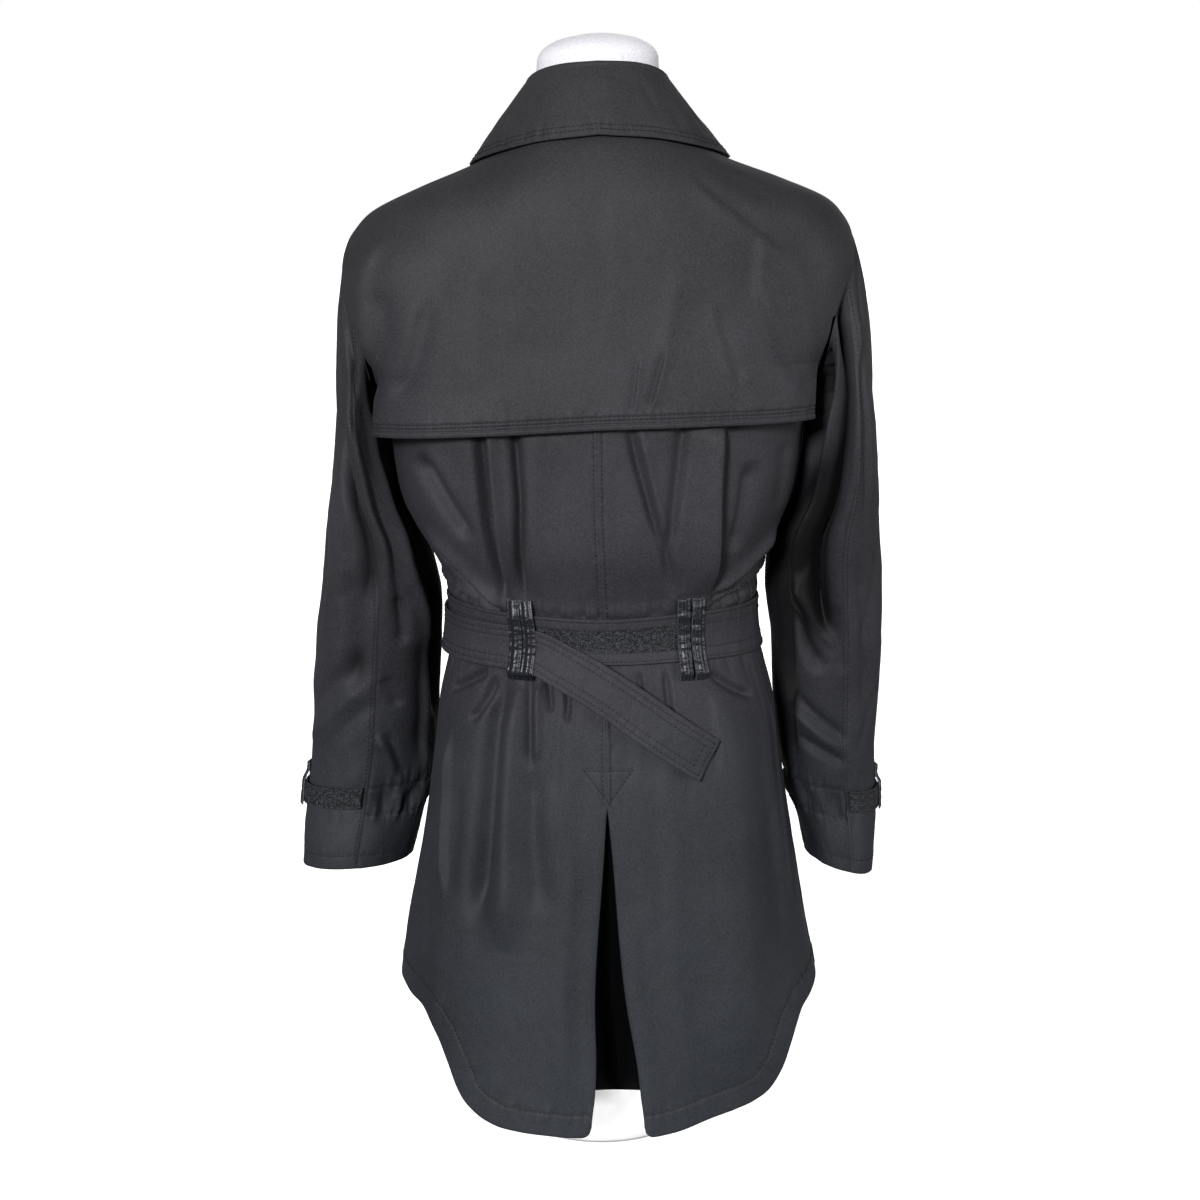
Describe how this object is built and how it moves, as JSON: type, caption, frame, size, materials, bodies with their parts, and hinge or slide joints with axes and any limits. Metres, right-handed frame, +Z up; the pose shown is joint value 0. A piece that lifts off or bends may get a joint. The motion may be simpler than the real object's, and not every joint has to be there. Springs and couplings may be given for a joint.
{
  "type": "trench coat on a dress form",
  "caption": "Thigh-length trench coat with storm flap, turned-down collar, belt, leather loops, back pleat and curved hem, on a limbless countertop dress form.",
  "frame": {"origin": "middle of the underside of the dress form's round base, on the counter", "axes": "+Z up along the pole; the wearer faces -Y, so the coat's back faces +Y; +X is the wearer's left"},
  "size_m": [0.558, 0.2993, 1.014],
  "materials": {
    "coat_cloth": "fine plain weave with a soft satin sheen",
    "strap_tape": "matt, close zigzag-stitched tape",
    "loop_leather": "glossy, lightly wrinkled",
    "form_cover": "smooth matt jersey cover",
    "stand_paint": "satin white paint",
    "button_plastic": "satin dark plastic"
  },
  "bodies": {
    "root": {"back_left": "coat_cloth", "back_right": "coat_cloth", "belt_band": "strap_tape", "belt_buckle": "button_plastic", "belt_loop_1": "loop_leather", "belt_loop_2": "loop_leather", "belt_loop_3": "loop_leather", "belt_loop_4": "loop_leather", "belt_tail": "coat_cloth", "button_1": "button_plastic", "button_2": "button_plastic", "button_3": "button_plastic", "button_4": "button_plastic", "button_5": "button_plastic", "button_6": "button_plastic", "collar": "coat_cloth", "cuff_loop_left": "loop_leather", "cuff_loop_right": "loop_leather", "cuff_strap_left": "strap_tape", "cuff_strap_right": "strap_tape", "form_stand": "stand_paint", "form_torso": "form_cover", "front_left": "coat_cloth", "front_right": "coat_cloth", "pleat_underlay": "coat_cloth", "sleeve_left_top": "coat_cloth", "sleeve_left_under": "coat_cloth", "sleeve_right_top": "coat_cloth", "sleeve_right_under": "coat_cloth", "storm_flap": "coat_cloth"}
  },
  "joints": []
}
